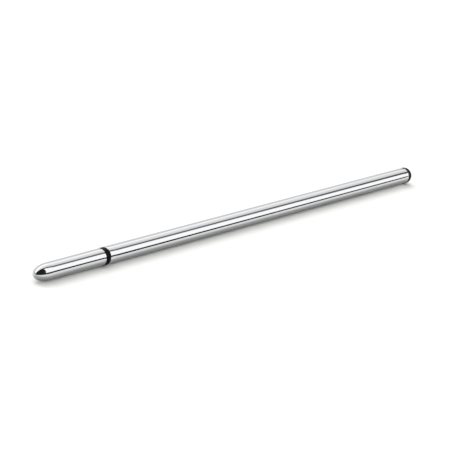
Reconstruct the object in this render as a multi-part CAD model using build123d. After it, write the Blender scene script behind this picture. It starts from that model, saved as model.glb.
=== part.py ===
from build123d import *
import math
import os

# A long garden dibber: a slim polished rod with a bullet nose, a black depth ring and a domed black end cap.
# It is built from seven turned, drawn and moulded pieces. The nose is a solid bar that unscrews from the
# shaft tube on a right-hand threaded stud, and the depth ring is clamped between the two.
#
# Frame: the rod lies on the ground plane z = 0, with its nose towards -X and its cap towards +X. The origin
# is on the ground under the middle of the rod. Every piece is first made upright, with its axis on Z and the
# tip of the nose at height 0, and is laid down at the end. Lengths are in millimetres.

# Driving dimensions of the rod, from the tip of the nose to the crown of the cap
SHAFT_DIAMETER = 20.0
TUBE_WALL = 1.5
OVERALL_LENGTH = 711.0
NOSE_LENGTH = 105.0
NOSE_DOME_LENGTH = 21.0
NOSE_FRONT_DIAMETER = 19.2
NOSE_REAR_DIAMETER = 19.6
RING_WIDTH = 7.4
RING_DIAMETER = 19.6
CAP_FLANGE_WIDTH = 3.9
CAP_DOME_HEIGHT = 8.5
CAP_WALL = 2.0
SPIGOT_LENGTH = 22.0
BARB_COUNT = 4

# The screwed joint: a metric thread of coarse pitch, a stud locked into the nose and a bush in the tube
THREAD_DIAMETER = 10.0
THREAD_PITCH = 1.5
THREAD_FORM_ANGLE = 60.0
CREST_CUT = 1 / 8
ROOT_CUT = 1 / 6
STUD_LENGTH = 40.0
STUD_DEPTH_IN_NOSE = 18.0
SOCKET_ACROSS_FLATS = 5.0
SOCKET_DEPTH = 6.0
INSERT_LENGTH = 25.0
GLUE_GROOVE_COUNT = 3

# Clearances and small edge treatments
THREAD_GAP = 0.05
SPACER_GAP = 0.08
SPIGOT_GAP = 0.5
EDGE_BREAK = 0.3
RING_CORNER_RADIUS = 0.6
GLUE_GROOVE_DEPTH = 0.3
DRILL_POINT_ANGLE = 118.0
TAP_DRILL_DIAMETER = 8.5
ELLIPSE_HANDLE = 0.5523

# Values worked out from the driving dimensions
SHAFT_RADIUS = SHAFT_DIAMETER / 2
BORE_RADIUS = SHAFT_RADIUS - TUBE_WALL
TUBE_START = NOSE_LENGTH + RING_WIDTH
CAP_DOME_START = OVERALL_LENGTH - CAP_DOME_HEIGHT
TUBE_END = CAP_DOME_START - CAP_FLANGE_WIDTH
STUD_START = NOSE_LENGTH - STUD_DEPTH_IN_NOSE
STUD_END = STUD_START + STUD_LENGTH
INSERT_END = TUBE_START + INSERT_LENGTH
SPACER_BORE_RADIUS = THREAD_DIAMETER / 2 - THREAD_GAP + SPACER_GAP
SPACER_RADIUS = (SPACER_BORE_RADIUS + BORE_RADIUS) / 2
FLANK_SLOPE = math.tan(math.radians(THREAD_FORM_ANGLE / 2))
SHARP_THREAD_HEIGHT = THREAD_PITCH / (2 * FLANK_SLOPE)
THREAD_DEPTH = SHARP_THREAD_HEIGHT * (1 - CREST_CUT - ROOT_CUT)
RIDGE_OVERLAP = SHARP_THREAD_HEIGHT / 10
TAP_DRILL_RADIUS = TAP_DRILL_DIAMETER / 2
COUNTERSINK_RADIUS = THREAD_DIAMETER / 2 + EDGE_BREAK
COUNTERSINK_DEPTH = COUNTERSINK_RADIUS - TAP_DRILL_RADIUS
DRILL_RUN_ON = 3 * THREAD_PITCH


def turned(outline):
    """A solid of revolution about the rod's axis, from a closed outline of (radius, height) points."""
    return revolve(make_face(Plane.XZ * outline), Axis.Z)


def turned_sleeve(outer_radius, inner_radius, start, end):
    """A plain sleeve from start to end, with all four of its edges broken."""
    return turned(
        Polyline(
            (inner_radius + EDGE_BREAK, start),
            (outer_radius - EDGE_BREAK, start),
            (outer_radius, start + EDGE_BREAK),
            (outer_radius, end - EDGE_BREAK),
            (outer_radius - EDGE_BREAK, end),
            (inner_radius + EDGE_BREAK, end),
            (inner_radius, end - EDGE_BREAK),
            (inner_radius, start + EDGE_BREAK),
            close=True,
        )
    )


def dome_curve(radius, base, crown):
    """A quarter of an ellipse, from its widest point at the height of the base to the axis at the crown."""
    rise = crown - base
    return Bezier(
        (radius, base),
        (radius, base + ELLIPSE_HANDLE * rise),
        (ELLIPSE_HANDLE * radius, crown),
        (0, crown),
    )


def drill_point_depth(radius):
    """The depth of the cone that a drill of this radius leaves at the bottom of its hole."""
    return radius / math.tan(math.radians(DRILL_POINT_ANGLE / 2))


def thread_ridge(start, end, gap):
    """The helical ridge of a thread from start to end, fading out at both ends.

    A negative gap makes the ridge of the stud, and a positive one the groove of a hole around it. The ridge
    is a 60 degree form on a right-hand helix, and its foot overlaps the core it is joined to. Every thread of
    the joint lies on one helix, so the stud and its holes are in mesh when it is tight.
    """
    crest_radius = THREAD_DIAMETER / 2 + gap
    root_radius = crest_radius - THREAD_DEPTH
    foot_radius = root_radius - RIDGE_OVERLAP
    crest_half_width = (THREAD_PITCH * CREST_CUT + gap) / 2
    foot_half_width = crest_half_width + (crest_radius - foot_radius) * FLANK_SLOPE
    ridge_outline = Polyline(
        (foot_radius, -foot_half_width),
        (crest_radius, -crest_half_width),
        (crest_radius, crest_half_width),
        (foot_radius, foot_half_width),
        close=True,
    )
    turns_before = math.floor((start - STUD_START) / THREAD_PITCH) - 1
    helix_start = STUD_START + turns_before * THREAD_PITCH
    helix_turns = math.ceil((end - helix_start) / THREAD_PITCH) + 1
    helix = Helix(THREAD_PITCH, helix_turns * THREAD_PITCH, root_radius)
    ridge = Pos(0, 0, helix_start) * sweep(make_face(Plane.XZ * ridge_outline), path=helix, is_frenet=True)
    bevel = 2 * THREAD_DEPTH
    envelope = turned(
        Polyline(
            (0, start),
            (root_radius, start),
            (root_radius + bevel, start + bevel),
            (root_radius + bevel, end - bevel),
            (root_radius, end),
            (0, end),
            close=True,
        )
    )
    return ridge & envelope


def make_nose():
    """The solid bar with its bullet end, and the drilled and tapped blind hole in its rear face."""
    front_radius = NOSE_FRONT_DIAMETER / 2
    rear_radius = NOSE_REAR_DIAMETER / 2
    bar = Polyline(
        (0, 0),
        (0, NOSE_LENGTH),
        (rear_radius - EDGE_BREAK, NOSE_LENGTH),
        (rear_radius, NOSE_LENGTH - EDGE_BREAK),
        (front_radius, NOSE_DOME_LENGTH),
    )
    drill_end = STUD_START - DRILL_RUN_ON
    hole = turned(
        Polyline(
            (0, NOSE_LENGTH),
            (COUNTERSINK_RADIUS, NOSE_LENGTH),
            (TAP_DRILL_RADIUS, NOSE_LENGTH - COUNTERSINK_DEPTH),
            (TAP_DRILL_RADIUS, drill_end),
            (0, drill_end - drill_point_depth(TAP_DRILL_RADIUS)),
            close=True,
        )
    )
    hole += thread_ridge(STUD_START - THREAD_PITCH, NOSE_LENGTH + 2 * THREAD_PITCH, THREAD_GAP)
    return turned(dome_curve(front_radius, NOSE_DOME_LENGTH, 0) + bar) - hole


def make_joining_stud():
    """The threaded stud that is locked into the nose, with a hexagon socket in its free end."""
    root_radius = THREAD_DIAMETER / 2 - THREAD_GAP - THREAD_DEPTH
    core = Pos(0, 0, (STUD_START + STUD_END) / 2) * Cylinder(root_radius, STUD_LENGTH)
    socket_outline = RegularPolygon(SOCKET_ACROSS_FLATS / 2, 6, major_radius=False)
    socket_floor = STUD_END - SOCKET_DEPTH
    socket = extrude(Pos(0, 0, socket_floor) * socket_outline, SOCKET_DEPTH)
    return core + thread_ridge(STUD_START, STUD_END, -THREAD_GAP) - socket


def make_depth_ring():
    """The rubber ring, with rounded outer corners."""
    ring = Pos(0, 0, NOSE_LENGTH + RING_WIDTH / 2) * Cylinder(RING_DIAMETER / 2, RING_WIDTH)
    bore = Pos(0, 0, NOSE_LENGTH + RING_WIDTH / 2) * Cylinder(SPACER_RADIUS, RING_WIDTH)
    outer_edges = ring.edges().filter_by(GeomType.CIRCLE)
    return fillet(outer_edges, RING_CORNER_RADIUS) - bore


def make_spacer_collar():
    """The metal collar inside the ring, which takes the clamping load off the rubber."""
    return turned_sleeve(SPACER_RADIUS, SPACER_BORE_RADIUS, NOSE_LENGTH, TUBE_START)


def make_shaft_tube():
    """The long drawn tube."""
    return turned_sleeve(SHAFT_RADIUS, BORE_RADIUS, TUBE_START, TUBE_END)


def make_front_insert():
    """The tapped bush that is pressed and glued into the front of the tube."""
    centre = (TUBE_START + INSERT_END) / 2
    blank = Pos(0, 0, centre) * Cylinder(BORE_RADIUS, INSERT_LENGTH)
    blank = chamfer(blank.edges().filter_by(GeomType.CIRCLE), EDGE_BREAK)
    groove_width = INSERT_LENGTH / (4 * GLUE_GROOVE_COUNT)
    groove_spacing = INSERT_LENGTH / (GLUE_GROOVE_COUNT + 1)
    for index in range(GLUE_GROOVE_COUNT):
        height = TUBE_START + groove_spacing * (index + 1)
        groove = Cylinder(BORE_RADIUS + EDGE_BREAK, groove_width)
        groove -= Cylinder(BORE_RADIUS - GLUE_GROOVE_DEPTH, groove_width)
        blank -= Pos(0, 0, height) * groove
    hole = turned(
        Polyline(
            (0, TUBE_START),
            (COUNTERSINK_RADIUS, TUBE_START),
            (TAP_DRILL_RADIUS, TUBE_START + COUNTERSINK_DEPTH),
            (TAP_DRILL_RADIUS, INSERT_END - COUNTERSINK_DEPTH),
            (COUNTERSINK_RADIUS, INSERT_END),
            (0, INSERT_END),
            close=True,
        )
    )
    hole += thread_ridge(TUBE_START - 2 * THREAD_PITCH, INSERT_END + 2 * THREAD_PITCH, THREAD_GAP)
    return blank - hole


def make_end_cap():
    """The moulded cap: a flange and a dome outside the tube, and a hollow barbed spigot inside it."""
    spigot_radius = BORE_RADIUS - SPIGOT_GAP
    hollow_radius = spigot_radius - CAP_WALL
    spigot_start = TUBE_END - SPIGOT_LENGTH
    barb_spacing = SPIGOT_LENGTH / (BARB_COUNT + 1)
    barb_length = barb_spacing / 2
    barb_points = []
    for index in range(BARB_COUNT):
        barb_start = spigot_start + barb_spacing * (index + 0.5)
        barb_points.append((spigot_radius, barb_start))
        barb_points.append((BORE_RADIUS, barb_start + barb_length))
        barb_points.append((spigot_radius, barb_start + barb_length))
    sides = Polyline(
        (hollow_radius, CAP_DOME_START),
        (hollow_radius, spigot_start),
        (spigot_radius, spigot_start),
        *barb_points,
        (spigot_radius, TUBE_END),
        (SHAFT_RADIUS - EDGE_BREAK, TUBE_END),
        (SHAFT_RADIUS, TUBE_END + EDGE_BREAK),
        (SHAFT_RADIUS, CAP_DOME_START),
    )
    outer_dome = dome_curve(SHAFT_RADIUS, CAP_DOME_START, OVERALL_LENGTH)
    inner_dome = dome_curve(hollow_radius, CAP_DOME_START, OVERALL_LENGTH - CAP_WALL)
    crown = Line((0, OVERALL_LENGTH - CAP_WALL), (0, OVERALL_LENGTH))
    return turned(sides + outer_dome + inner_dome + crown)


# Lay each upright piece down along X, resting on the ground with the middle of the rod over the origin
laid_down = Pos(-OVERALL_LENGTH / 2, 0, SHAFT_RADIUS) * Rot(0, 90, 0)
pieces = {
    "nose": make_nose(),
    "joining_stud": make_joining_stud(),
    "depth_ring": make_depth_ring(),
    "spacer_collar": make_spacer_collar(),
    "shaft_tube": make_shaft_tube(),
    "front_insert": make_front_insert(),
    "end_cap": make_end_cap(),
}
os.makedirs("parts", exist_ok=True)
for name, piece in pieces.items():
    export_step(laid_down * piece, f"parts/{name}.step")
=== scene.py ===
"""Looks for the long garden dibber: a mirror-polished rod with a bullet nose, a black ring and a black cap.

The whole rod is turned about one axis, which runs along X at the height of the shaft's radius. The nose,
the ring, the tube and the cap are turned here again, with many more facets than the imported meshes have. The
stud, the collar and the bush keep their CAD meshes and get new materials. Lengths are in metres.
"""

import math

import bmesh
import bpy
from mathutils import Matrix, Vector


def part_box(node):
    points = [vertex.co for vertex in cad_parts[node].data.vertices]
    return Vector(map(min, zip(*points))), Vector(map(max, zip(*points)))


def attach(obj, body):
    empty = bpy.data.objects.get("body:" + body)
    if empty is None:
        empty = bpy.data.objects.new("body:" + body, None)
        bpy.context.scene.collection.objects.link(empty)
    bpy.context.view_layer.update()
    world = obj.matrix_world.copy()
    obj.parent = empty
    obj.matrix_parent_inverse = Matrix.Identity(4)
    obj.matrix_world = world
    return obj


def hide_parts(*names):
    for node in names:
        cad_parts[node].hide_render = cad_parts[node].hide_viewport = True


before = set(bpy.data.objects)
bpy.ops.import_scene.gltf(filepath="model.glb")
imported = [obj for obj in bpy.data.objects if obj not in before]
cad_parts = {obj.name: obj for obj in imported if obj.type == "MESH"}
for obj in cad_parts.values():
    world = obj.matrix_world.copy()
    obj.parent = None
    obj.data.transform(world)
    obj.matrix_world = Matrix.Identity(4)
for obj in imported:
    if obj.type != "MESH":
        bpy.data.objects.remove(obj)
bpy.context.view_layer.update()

# The rod as the CAD gives it
NOSE_LOW, NOSE_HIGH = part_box("nose")
RING_LOW, RING_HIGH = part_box("depth_ring")
TUBE_LOW, TUBE_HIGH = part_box("shaft_tube")
CAP_LOW, CAP_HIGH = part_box("end_cap")
COLLAR_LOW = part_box("spacer_collar")[0]
BUSH_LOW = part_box("front_insert")[0]
STUD_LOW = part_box("joining_stud")[0]
SHAFT_RADIUS = (TUBE_HIGH.z - TUBE_LOW.z) / 2
AXIS_HEIGHT = SHAFT_RADIUS
NOSE_REAR_RADIUS = AXIS_HEIGHT - NOSE_LOW.z
RING_RADIUS = AXIS_HEIGHT - RING_LOW.z
COLLAR_RADIUS = AXIS_HEIGHT - COLLAR_LOW.z
BORE_RADIUS = AXIS_HEIGHT - BUSH_LOW.z

# Shapes that the boxes don't give
MM = 0.001
NOSE_DOME_LENGTH = 21 * MM
NOSE_FRONT_RADIUS = 9.6 * MM
EDGE_BREAK = 0.3 * MM
TURNING_GAP = 0.02 * MM
RING_CORNER_RADIUS = 0.6 * MM
CAP_FLANGE_WIDTH = 3.9 * MM
CAP_WALL = 2 * MM
SPIGOT_GAP = 0.5 * MM
BARB_COUNT = 4
ELLIPSE_HANDLE = 0.5523

# The tapped hole in the nose, on the same helix as the stud
THREAD_PITCH = 1.5 * MM
THREAD_GAP = 0.05 * MM
STUD_RADIUS = 5 * MM
THREAD_CREST_RADIUS = STUD_RADIUS + THREAD_GAP
CREST_CUT = 1 / 8
ROOT_CUT = 1 / 6
FLANK_SLOPE = math.tan(math.radians(30))
THREAD_DEPTH = THREAD_PITCH / (2 * FLANK_SLOPE) * (1 - CREST_CUT - ROOT_CUT)
TAP_DRILL_RADIUS = 4.25 * MM
COUNTERSINK_RADIUS = 5.3 * MM
DRILL_RUN_ON = 3 * THREAD_PITCH
DRILL_POINT_HALF_ANGLE = math.radians(59)
SPARE_TURNS = 2

SEGMENTS = 192
SAME_POINT = 0.001 * MM
SHARP_EDGE_ANGLE = math.radians(32)


def round_edge(centre_x, centre_radius, radius, start, end, steps=8):
    """Outline points of a rounded edge, between two angles in degrees, from +X towards the outside."""
    points = []
    for step in range(steps + 1):
        angle = math.radians(start + (end - start) * step / steps)
        points.append((centre_x + radius * math.cos(angle), centre_radius + radius * math.sin(angle)))
    return points


def dome(radius, base_x, crown_x, steps=48):
    """Outline points of a quarter-ellipse dome, from its base to the axis at the crown."""
    rise = crown_x - base_x
    handles = [
        (base_x, radius),
        (base_x + ELLIPSE_HANDLE * rise, radius),
        (crown_x, ELLIPSE_HANDLE * radius),
        (crown_x, 0.0),
    ]
    points = []
    for step in range(steps + 1):
        t = step / steps
        weights = [(1 - t) ** 3, 3 * t * (1 - t) ** 2, 3 * t**2 * (1 - t), t**3]
        points.append(tuple(sum(w * h[i] for w, h in zip(weights, handles)) for i in (0, 1)))
    return points


def straight(start, end, steps):
    """Outline points along a straight stretch, leaving out its two ends."""
    points = []
    for step in range(1, steps):
        share = step / steps
        points.append(tuple(a + (b - a) * share for a, b in zip(start, end)))
    return points


def place(x, radius, segment):
    """A point on a circle about the axis. The segments are counted round from the underside."""
    angle = 2 * math.pi * segment / SEGMENTS
    return Vector((x, radius * math.sin(angle), AXIS_HEIGHT - radius * math.cos(angle)))


def skin(sheet, rings, rings_per_turn=0):
    """Faces between each ring of points and the next. On a helix, a full turn leads on to a later ring."""
    for index in range(len(rings) - 1 - rings_per_turn):
        for segment in range(SEGMENTS):
            after = (segment + 1) % SEGMENTS
            lead = rings_per_turn if after == 0 else 0
            sheet.faces.new(
                (
                    rings[index][segment],
                    rings[index + 1][segment],
                    rings[index + 1 + lead][after],
                    rings[index + lead][after],
                )
            )


def turn_outline(sheet, outline):
    """The surface of revolution of an outline of (x, radius) points."""
    rings = []
    for x, radius in outline:
        rings.append([sheet.verts.new(place(x, radius, segment)) for segment in range(SEGMENTS)])
    skin(sheet, rings)


def tap_hole(sheet, deep_end, open_end, helix_start):
    """The wall of a tapped hole that opens towards +X, with its helical groove and its countersink."""
    crest_half_width = (THREAD_PITCH * CREST_CUT + THREAD_GAP) / 2
    mouth_half_width = crest_half_width + (THREAD_CREST_RADIUS - TAP_DRILL_RADIUS) * FLANK_SLOPE
    root_radius = THREAD_CREST_RADIUS - THREAD_DEPTH
    groove = [
        (-mouth_half_width, TAP_DRILL_RADIUS),
        (-crest_half_width, THREAD_CREST_RADIUS),
        (crest_half_width, THREAD_CREST_RADIUS),
        (mouth_half_width, TAP_DRILL_RADIUS),
    ]
    first_turn = math.floor((deep_end - helix_start) / THREAD_PITCH) - SPARE_TURNS
    last_turn = math.ceil((open_end - helix_start) / THREAD_PITCH) + SPARE_TURNS
    rings = []
    for turn in range(first_turn, last_turn + 1):
        for offset, groove_radius in groove:
            ring = []
            for segment in range(SEGMENTS):
                x = helix_start + offset + THREAD_PITCH * (turn + segment / SEGMENTS)
                x = min(max(x, deep_end), open_end)
                fade_radius = root_radius + (x - deep_end)
                countersink = COUNTERSINK_RADIUS - (open_end - x)
                radius = max(min(groove_radius, fade_radius), TAP_DRILL_RADIUS, countersink)
                ring.append(sheet.verts.new(place(x, radius, segment)))
            rings.append(ring)
    skin(sheet, rings, len(groove))


def finish_piece(name, sheet, body, node, material):
    """Makes the piece from its sheet of faces, and puts it on its body in place of a CAD node."""
    bmesh.ops.remove_doubles(sheet, verts=sheet.verts, dist=SAME_POINT)
    bmesh.ops.dissolve_degenerate(sheet, edges=sheet.edges, dist=SAME_POINT)
    bmesh.ops.recalc_face_normals(sheet, faces=sheet.faces)
    mesh = bpy.data.meshes.new(name)
    sheet.to_mesh(mesh)
    sheet.free()
    mesh.shade_smooth()
    mesh.set_sharp_from_angle(angle=SHARP_EDGE_ANGLE)
    mesh.materials.append(material)
    piece = bpy.data.objects.new(name, mesh)
    bpy.context.scene.collection.objects.link(piece)
    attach(piece, body)
    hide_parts(node)


# Materials. Every pattern is fixed to the piece: X runs along the rod, and Y and Z cross it
def new_material(name, colour, metallic):
    material = bpy.data.materials.new(name)
    material.use_nodes = True
    shader = material.node_tree.nodes["Principled BSDF"]
    shader.inputs["Base Color"].default_value = (*colour, 1)
    shader.inputs["Metallic"].default_value = metallic
    return material, shader


def noise(tree, along, across, detail=2):
    """A noise between 0 and 1, with this many waves per metre along the rod and across it."""
    nodes, links = tree.nodes, tree.links
    coordinates = nodes.new("ShaderNodeTexCoord")
    mapping = nodes.new("ShaderNodeMapping")
    mapping.inputs["Scale"].default_value = (along, across, across)
    texture = nodes.new("ShaderNodeTexNoise")
    texture.inputs["Scale"].default_value = 1.0
    texture.inputs["Detail"].default_value = detail
    links.new(coordinates.outputs["Object"], mapping.inputs["Vector"])
    links.new(mapping.outputs["Vector"], texture.inputs["Vector"])
    return texture.outputs["Fac"]


def ranged(tree, value, given, wanted=(0, 1)):
    """A value rescaled from the given range to the wanted one, and held at the ends."""
    node = tree.nodes.new("ShaderNodeMapRange")
    node.inputs["From Min"].default_value = given[0]
    node.inputs["From Max"].default_value = given[1]
    node.inputs["To Min"].default_value = wanted[0]
    node.inputs["To Max"].default_value = wanted[1]
    tree.links.new(value, node.inputs["Value"])
    return node.outputs["Result"]


def calculated(tree, operation, *values):
    """The result of a sum, product or other operation on values and plain numbers."""
    node = tree.nodes.new("ShaderNodeMath")
    node.operation = operation
    for socket, value in zip(node.inputs, values):
        if isinstance(value, float):
            socket.default_value = value
        else:
            tree.links.new(value, socket)
    return node.outputs["Value"]


def place_on(tree, axis):
    """The place on one axis of the row frame, in metres."""
    coordinates = tree.nodes.new("ShaderNodeTexCoord")
    split = tree.nodes.new("ShaderNodeSeparateXYZ")
    tree.links.new(coordinates.outputs["Object"], split.inputs["Vector"])
    return split.outputs[axis]


def relief(tree, shader, height, depth):
    """Bump of a real depth, in metres, from a height between 0 and 1."""
    bump = tree.nodes.new("ShaderNodeBump")
    bump.inputs["Strength"].default_value = 1.0
    bump.inputs["Distance"].default_value = depth
    tree.links.new(height, bump.inputs["Height"])
    tree.links.new(bump.outputs["Normal"], shader.inputs["Normal"])


def tinted(tree, shader, value, at_zero, at_one, socket="Base Color"):
    """A colour that moves from one shade to another as a value goes from 0 to 1."""
    mix = tree.nodes.new("ShaderNodeMix")
    mix.data_type = "RGBA"
    mix.inputs["A"].default_value = (*at_zero, 1)
    mix.inputs["B"].default_value = (*at_one, 1)
    tree.links.new(value, mix.inputs["Factor"])
    tree.links.new(mix.outputs["Result"], shader.inputs[socket])


def polished_steel():
    """Mirror polish: faint lines round the rod, hairline scratches along it, and a duller, worked tip."""
    material, shader = new_material("polished_steel", (0.77, 0.775, 0.785), metallic=1)
    tree = material.node_tree
    worked_stretch = (NOSE_LOW.x, NOSE_LOW.x + 2 * NOSE_DOME_LENGTH)
    tip_wear = ranged(tree, place_on(tree, "X"), given=worked_stretch, wanted=(0.07, 0.012))
    hairlines = ranged(tree, noise(tree, along=40, across=9000, detail=4), given=(0.64, 0.74))
    scratches = calculated(tree, "MULTIPLY", hairlines, tip_wear)
    clouds = noise(tree, along=25, across=60, detail=3)
    cloudiness = ranged(tree, clouds, given=(0.35, 0.65), wanted=(0.028, 0.045))
    tree.links.new(calculated(tree, "ADD", cloudiness, scratches), shader.inputs["Roughness"])
    relief(tree, shader, noise(tree, along=3500, across=20), depth=0.0001 * MM)
    return material


def turned_metal(name, dark, light, roughness):
    """Plain machined metal, with the fine rings that a lathe tool leaves."""
    material, shader = new_material(name, light, metallic=1)
    tree = material.node_tree
    tool_rings = noise(tree, along=9000, across=30, detail=3)
    dullness = ranged(tree, tool_rings, given=(0.3, 0.7), wanted=(0.8 * roughness, 1.3 * roughness))
    stains = ranged(tree, noise(tree, along=300, across=300, detail=4), given=(0.35, 0.65))
    tree.links.new(dullness, shader.inputs["Roughness"])
    tinted(tree, shader, stains, dark, light)
    relief(tree, shader, tool_rings, depth=0.004 * MM)
    return material


def black_rubber():
    """Satin rubber: fine grain, and paler scuffed patches."""
    material, shader = new_material("black_rubber", (0.002, 0.002, 0.002), metallic=0)
    tree = material.node_tree
    grain = noise(tree, along=9000, across=9000, detail=3)
    scuffs = ranged(tree, noise(tree, along=220, across=220, detail=4), given=(0.5, 0.75))
    tinted(tree, shader, scuffs, at_zero=(0.0013, 0.0015, 0.0018), at_one=(0.0045, 0.005, 0.0055))
    tree.links.new(ranged(tree, scuffs, given=(0, 1), wanted=(0.3, 0.42)), shader.inputs["Roughness"])
    shader.inputs["Specular IOR Level"].default_value = 0.05
    relief(tree, shader, grain, depth=0.006 * MM)
    return material


def black_plastic():
    """Satin black moulding: a spark-eroded grain, and paler, slightly shinier worn patches."""
    material, shader = new_material("black_plastic", (0.009, 0.009, 0.01), metallic=0)
    tree = material.node_tree
    grain = noise(tree, along=5000, across=5000, detail=4)
    wear = ranged(tree, noise(tree, along=150, across=150, detail=3), given=(0.4, 0.7))
    tinted(tree, shader, wear, at_zero=(0.008, 0.008, 0.009), at_one=(0.012, 0.012, 0.013))
    tree.links.new(ranged(tree, wear, given=(0, 1), wanted=(0.45, 0.36)), shader.inputs["Roughness"])
    shader.inputs["Specular IOR Level"].default_value = 0.15
    relief(tree, shader, grain, depth=0.008 * MM)
    return material


def make_nose(material):
    """The bar with its bullet end, and the tapped blind hole that holds the stud."""
    rear = NOSE_HIGH.x
    thread_end = STUD_LOW.x - THREAD_PITCH
    drill_end = STUD_LOW.x - DRILL_RUN_ON
    drill_point = drill_end - TAP_DRILL_RADIUS / math.tan(DRILL_POINT_HALF_ANGLE)
    outside = dome(NOSE_FRONT_RADIUS, NOSE_LOW.x + NOSE_DOME_LENGTH, NOSE_LOW.x)[::-1]
    outside += straight(outside[-1], (rear - EDGE_BREAK, NOSE_REAR_RADIUS), steps=20)
    outside += round_edge(rear - EDGE_BREAK, NOSE_REAR_RADIUS - EDGE_BREAK, EDGE_BREAK, 90, 0)
    outside += [(rear, COUNTERSINK_RADIUS)]
    sheet = bmesh.new()
    turn_outline(sheet, outside)
    tap_hole(sheet, thread_end, rear, STUD_LOW.x)
    turn_outline(sheet, [(thread_end, TAP_DRILL_RADIUS), (drill_end, TAP_DRILL_RADIUS), (drill_point, 0.0)])
    finish_piece("nose_bar", sheet, "nose_unit", "nose", material)


def make_ring(material):
    """The rubber ring, with rounded outer corners, and just clear of the nose, which turns against it."""
    front = RING_LOW.x + TURNING_GAP
    rear = RING_HIGH.x
    corner = RING_CORNER_RADIUS
    outline = [(front, COLLAR_RADIUS)]
    outline += round_edge(front + corner, RING_RADIUS - corner, corner, 180, 90)
    outline += round_edge(rear - corner, RING_RADIUS - corner, corner, 90, 0)
    outline += [(rear, COLLAR_RADIUS), (front, COLLAR_RADIUS)]
    sheet = bmesh.new()
    turn_outline(sheet, outline)
    finish_piece("ring_band", sheet, "ring_stack", "depth_ring", material)


def make_tube(material):
    """The long tube, with all four of its edges broken."""
    start, end = TUBE_LOW.x, TUBE_HIGH.x
    outside = SHAFT_RADIUS - EDGE_BREAK
    inside = BORE_RADIUS + EDGE_BREAK
    outline = round_edge(start + EDGE_BREAK, inside, EDGE_BREAK, 270, 180)
    outline += round_edge(start + EDGE_BREAK, outside, EDGE_BREAK, 180, 90)
    outline += straight(outline[-1], (end - EDGE_BREAK, SHAFT_RADIUS), steps=60)
    outline += round_edge(end - EDGE_BREAK, outside, EDGE_BREAK, 90, 0)
    outline += round_edge(end - EDGE_BREAK, inside, EDGE_BREAK, 0, -90)
    outline += [outline[0]]
    sheet = bmesh.new()
    turn_outline(sheet, outline)
    finish_piece("shaft_body", sheet, "shaft", "shaft_tube", material)


def make_cap(material):
    """The moulded cap: a flange and a dome outside the tube, and a hollow barbed spigot inside it."""
    spigot_radius = BORE_RADIUS - SPIGOT_GAP
    hollow_radius = spigot_radius - CAP_WALL
    flange_start = TUBE_HIGH.x
    dome_start = flange_start + CAP_FLANGE_WIDTH
    barb_spacing = (flange_start - CAP_LOW.x) / (BARB_COUNT + 1)
    outline = dome(hollow_radius, dome_start, CAP_HIGH.x - CAP_WALL, steps=16)[::-1]
    outline += [(CAP_LOW.x, hollow_radius), (CAP_LOW.x, spigot_radius)]
    for index in range(BARB_COUNT):
        barb_start = CAP_LOW.x + barb_spacing * (index + 0.5)
        barb_end = barb_start + barb_spacing / 2
        outline += [(barb_start, spigot_radius), (barb_end, BORE_RADIUS), (barb_end, spigot_radius)]
    outline += [(flange_start, spigot_radius)]
    outline += round_edge(flange_start + EDGE_BREAK, SHAFT_RADIUS - EDGE_BREAK, EDGE_BREAK, 180, 90)
    outline += dome(SHAFT_RADIUS, dome_start, CAP_HIGH.x)
    sheet = bmesh.new()
    turn_outline(sheet, outline)
    finish_piece("cap_moulding", sheet, "shaft", "end_cap", material)


def dress_node(node, material):
    """Gives a CAD node its new material."""
    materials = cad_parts[node].data.materials
    materials.clear()
    materials.append(material)


steel_mirror = polished_steel()
steel_turned = turned_metal(
    "turned_steel",
    dark=(0.5, 0.51, 0.53),
    light=(0.6, 0.61, 0.62),
    roughness=0.24,
)
brass_turned = turned_metal(
    "turned_brass",
    dark=(0.66, 0.45, 0.19),
    light=(0.8, 0.6, 0.29),
    roughness=0.22,
)
make_nose(steel_mirror)
make_ring(black_rubber())
make_tube(steel_mirror)
make_cap(black_plastic())
dress_node("joining_stud", steel_turned)
dress_node("spacer_collar", steel_turned)
dress_node("front_insert", brass_turned)


# Studio: a pale floor lit from above and behind, and sheets, glowing or dark, that only the metal mirrors.
# Angles are in degrees about the rod, from the horizontal in front of it: 90 is overhead and 180 is behind.
def add_sheet(name, corners, material):
    mesh = bpy.data.meshes.new(name)
    mesh.from_pydata(corners, [], [range(len(corners))])
    mesh.materials.append(material)
    sheet = bpy.data.objects.new(name, mesh)
    bpy.context.scene.collection.objects.link(sheet)
    return sheet


FLOOR_TINT = (1.0, 1.0, 0.98)


def lay_floor(half_size, seen_shade, mirrored_painted_shadow, mirrored_painted_shade):
    """A matt, faintly warm, pale floor.

    The metal mirrors it darker than the camera sees it, a painted shade, and darkest in a painted shadow
    strip along the front of the rod.
    """
    material, shader = new_material("pale_floor", FLOOR_TINT, metallic=0)
    shader.inputs["Roughness"].default_value = 1
    shader.inputs["Specular IOR Level"].default_value = 0
    tree = material.node_tree
    # Painted shadow: for the mirror, the floor darkens in a strip along the front of the rod, where the rod's
    # shadow falls
    from_painted_shadow = calculated(tree, "ABSOLUTE", calculated(tree, "ADD", place_on(tree, "Y"), SHAFT_RADIUS))
    painted_shadow_edge = (0.8 * SHAFT_RADIUS, 2.6 * SHAFT_RADIUS)
    mirrored = ranged(tree, from_painted_shadow, given=painted_shadow_edge, wanted=(mirrored_painted_shadow, mirrored_painted_shade))
    path = tree.nodes.new("ShaderNodeLightPath")
    not_mirrored = calculated(tree, "MAXIMUM", path.outputs["Is Camera Ray"], path.outputs["Diffuse Depth"])
    shade = tree.nodes.new("ShaderNodeMix")
    shade.inputs["B"].default_value = seen_shade
    tree.links.new(not_mirrored, shade.inputs["Factor"])
    tree.links.new(mirrored, shade.inputs["A"])
    tinted(tree, shader, shade.outputs["Result"], (0, 0, 0), FLOOR_TINT)
    corners = [(x * half_size, y * half_size, 0) for x, y in ((-1, -1), (1, -1), (1, 1), (-1, 1))]
    add_sheet("floor", corners, material)


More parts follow.
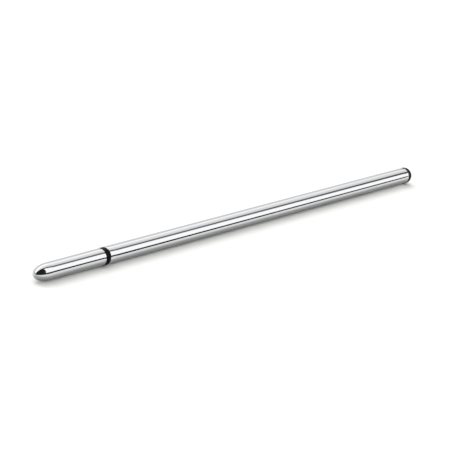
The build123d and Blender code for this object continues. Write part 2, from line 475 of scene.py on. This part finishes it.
def hang_sheet(name, points, glows):
    """A sheet that only the metal's mirror sees, with a glow for each of its corners."""
    material = bpy.data.materials.new(name)
    material.use_nodes = True
    tree = material.node_tree
    tree.nodes.clear()
    glow_at_corners = tree.nodes.new("ShaderNodeAttribute")
    glow_at_corners.attribute_name = "glow"
    emission = tree.nodes.new("ShaderNodeEmission")
    output = tree.nodes.new("ShaderNodeOutputMaterial")
    tree.links.new(glow_at_corners.outputs["Fac"], emission.inputs["Strength"])
    tree.links.new(emission.outputs["Emission"], output.inputs["Surface"])
    sheet = add_sheet(name, points, material)
    values = sheet.data.attributes.new("glow", "FLOAT", "POINT")
    values.data.foreach_set("value", glows)
    sheet.visible_camera = False
    sheet.visible_diffuse = False
    sheet.visible_shadow = False


def hang_softbox(name, tilt, distance, corners):
    """A flat sheet, facing the rod from the tilt angle. Each corner is (x, angle about the rod, glow)."""
    points = []
    for x, angle, _ in corners:
        reach = distance / math.cos(math.radians(angle - tilt))
        turn = math.radians(angle)
        points.append((x, -reach * math.cos(turn), AXIS_HEIGHT + reach * math.sin(turn)))
    hang_sheet(name, points, [glow for _, _, glow in corners])


def stand_wall(name, start, end, height, glow):
    """An upright sheet between two places on the floor, each (x, y)."""
    points = [(*start, 0), (*end, 0), (*end, height), (*start, height)]
    hang_sheet(name, points, [glow] * len(points))


def hang_key_light(angle, spread, strength):
    """A soft light from above and behind, which the metal doesn't mirror."""
    data = bpy.data.lights.new("key_light", "SUN")
    data.angle = math.radians(spread)
    data.energy = strength
    light = bpy.data.objects.new("key_light", data)
    light.rotation_euler = (math.radians(90 - angle), 0, 0)
    light.visible_glossy = False
    bpy.context.scene.collection.objects.link(light)


def paint_world(mirrored, glow):
    """A dark room for the mirrors, and for everything else an even glow from all round."""
    world = bpy.data.worlds.new("studio")
    world.use_nodes = True
    tree = world.node_tree
    path = tree.nodes.new("ShaderNodeLightPath")
    background = tree.nodes["Background"]
    background.inputs["Strength"].default_value = 1
    tinted(tree, background, path.outputs["Is Glossy Ray"], (glow,) * 3, mirrored, "Color")
    world.cycles.sampling_method = "NONE"
    bpy.context.scene.world = world


# The front softbox makes the broad bright band on the rod, and its lower edge climbs towards the nose
FRONT_GLOW = 1.22
front_corners = [
    (0.1, 18, FRONT_GLOW),
    (1.5, 18, FRONT_GLOW),
    (1.9, 14, FRONT_GLOW),
    (3.8, 9.3, FRONT_GLOW),
    (3.8, 42.5, FRONT_GLOW),
    (0.1, 76, FRONT_GLOW),
]
hang_softbox("front_softbox", tilt=40, distance=1.6, corners=front_corners)

# A small one close by carries that band on towards the nose, when the rod is seen more from the side or above
NEAR_START, NEAR_END = -0.265, 0.09
NEAR_LOW_ANGLE, NEAR_HIGH_ANGLE = 18, 62
near_corners = [
    (NEAR_START, NEAR_LOW_ANGLE, FRONT_GLOW),
    (NEAR_END, NEAR_LOW_ANGLE, FRONT_GLOW),
    (NEAR_END, NEAR_HIGH_ANGLE, FRONT_GLOW),
    (NEAR_START, NEAR_HIGH_ANGLE, FRONT_GLOW),
]
hang_softbox("near_softbox", tilt=40, distance=0.3, corners=near_corners)

# Two dim walls beyond them, brightest where they meet, show through the gap over the front softbox as the
# upper dark line
DIM_PEAK = 3.6
DIM_LOW_ANGLE, DIM_HIGH_ANGLE = 20, 104
DIM_END_GLOW, DIM_PEAK_GLOW = 0.05, 0.17
for name, dim_end in (("dim_wall", 0.1), ("far_dim_wall", 5)):
    dim_corners = [
        (dim_end, DIM_LOW_ANGLE, DIM_END_GLOW),
        (DIM_PEAK, DIM_LOW_ANGLE, DIM_PEAK_GLOW),
        (DIM_PEAK, DIM_HIGH_ANGLE, DIM_PEAK_GLOW),
        (dim_end, DIM_HIGH_ANGLE, DIM_END_GLOW),
    ]
    hang_softbox(name, tilt=60, distance=2.8, corners=dim_corners)

# Overhead, two softboxes meet along a bright seam, and a back wall carries on from them down to the horizon
NOSE_SIDE, CAP_SIDE = -2.5, 4.2
SEAM_ANGLE, WALL_TOP_ANGLE, HORIZON = 122, 146, 180
BACK_GLOW = 0.7
seam_at_nose = (NOSE_SIDE, SEAM_ANGLE, 1.72)
seam_at_cap = (CAP_SIDE, SEAM_ANGLE, 1.02)
top_corners = [(NOSE_SIDE, 102, 1.0), (CAP_SIDE, 69, 0.65), seam_at_cap, seam_at_nose]
rear_corners = [
    seam_at_nose,
    seam_at_cap,
    (CAP_SIDE, WALL_TOP_ANGLE, BACK_GLOW),
    (NOSE_SIDE, WALL_TOP_ANGLE, 0.88),
]
back_corners = [
    (NOSE_SIDE, WALL_TOP_ANGLE, BACK_GLOW),
    (CAP_SIDE, WALL_TOP_ANGLE, BACK_GLOW),
    (CAP_SIDE, HORIZON, BACK_GLOW),
    (NOSE_SIDE, HORIZON, BACK_GLOW),
]
hang_softbox("top_softbox", tilt=90, distance=1.5, corners=top_corners)
hang_softbox("rear_softbox", tilt=90, distance=1.5, corners=rear_corners)
hang_softbox("back_wall", tilt=180, distance=2.2, corners=back_corners)

# Walls beyond both ends light the rod when it is seen end-on
BEYOND_NOSE, BEYOND_CAP = -4.5, 5
stand_wall("nose_end_wall", (BEYOND_NOSE, -0.3), (BEYOND_NOSE, 3.5), height=2.5, glow=0.5)
stand_wall("cap_end_wall_front", (BEYOND_CAP, -2.2), (BEYOND_CAP, -0.25), height=2.2, glow=0.9)
stand_wall("cap_end_wall_back", (BEYOND_CAP, 0.25), (BEYOND_CAP, 2.2), height=2.2, glow=0.9)

# A low, dark flag in front of the tube widens the lower dark line
stand_wall("front_flag", (-0.061, -0.165), (0.626, -0.19), height=0.012, glow=0.02)

# The floor's mirrored shades are painted shade, darkest in a painted shadow strip in front of the rod
lay_floor(half_size=8, seen_shade=0.9, mirrored_painted_shadow=0.38, mirrored_painted_shade=0.69)
hang_key_light(angle=120, spread=50, strength=1.13)
paint_world(mirrored=(0.014, 0.019, 0.021), glow=0.96)

# Camera: low and beyond the nose, looking along the rod, with the tip at the left
CAMERA_LENS = 189.04
SENSOR_WIDTH = 36
CAMERA_BACK = 188.12 * SHAFT_RADIUS
CAMERA_REACH = 166.83 * SHAFT_RADIUS
CAMERA_SLOPE = math.radians(34)
CAMERA_ROLL = math.radians(12.78)
AIM_ALONG = 22.2575 * SHAFT_RADIUS
AIM_DROP = 0.1935 * SHAFT_RADIUS

ring_point = Vector((RING_LOW.x, 0, AXIS_HEIGHT))
across = CAMERA_REACH * math.cos(CAMERA_SLOPE)
rise = CAMERA_REACH * math.sin(CAMERA_SLOPE)
camera_place = ring_point + Vector((-CAMERA_BACK, -across, rise))
aim = ring_point + Vector((AIM_ALONG, 0, -AIM_DROP))
camera_data = bpy.data.cameras.new("camera")
camera_data.lens = CAMERA_LENS
camera_data.sensor_width = SENSOR_WIDTH
camera = bpy.data.objects.new("camera", camera_data)
level = (aim - camera_place).to_track_quat("-Z", "Y").to_matrix().to_4x4()
camera.matrix_world = Matrix.Translation(camera_place) @ level @ Matrix.Rotation(CAMERA_ROLL, 4, "Z")
bpy.context.scene.collection.objects.link(camera)
bpy.context.scene.camera = camera
bpy.context.scene.view_settings.view_transform = "Standard"
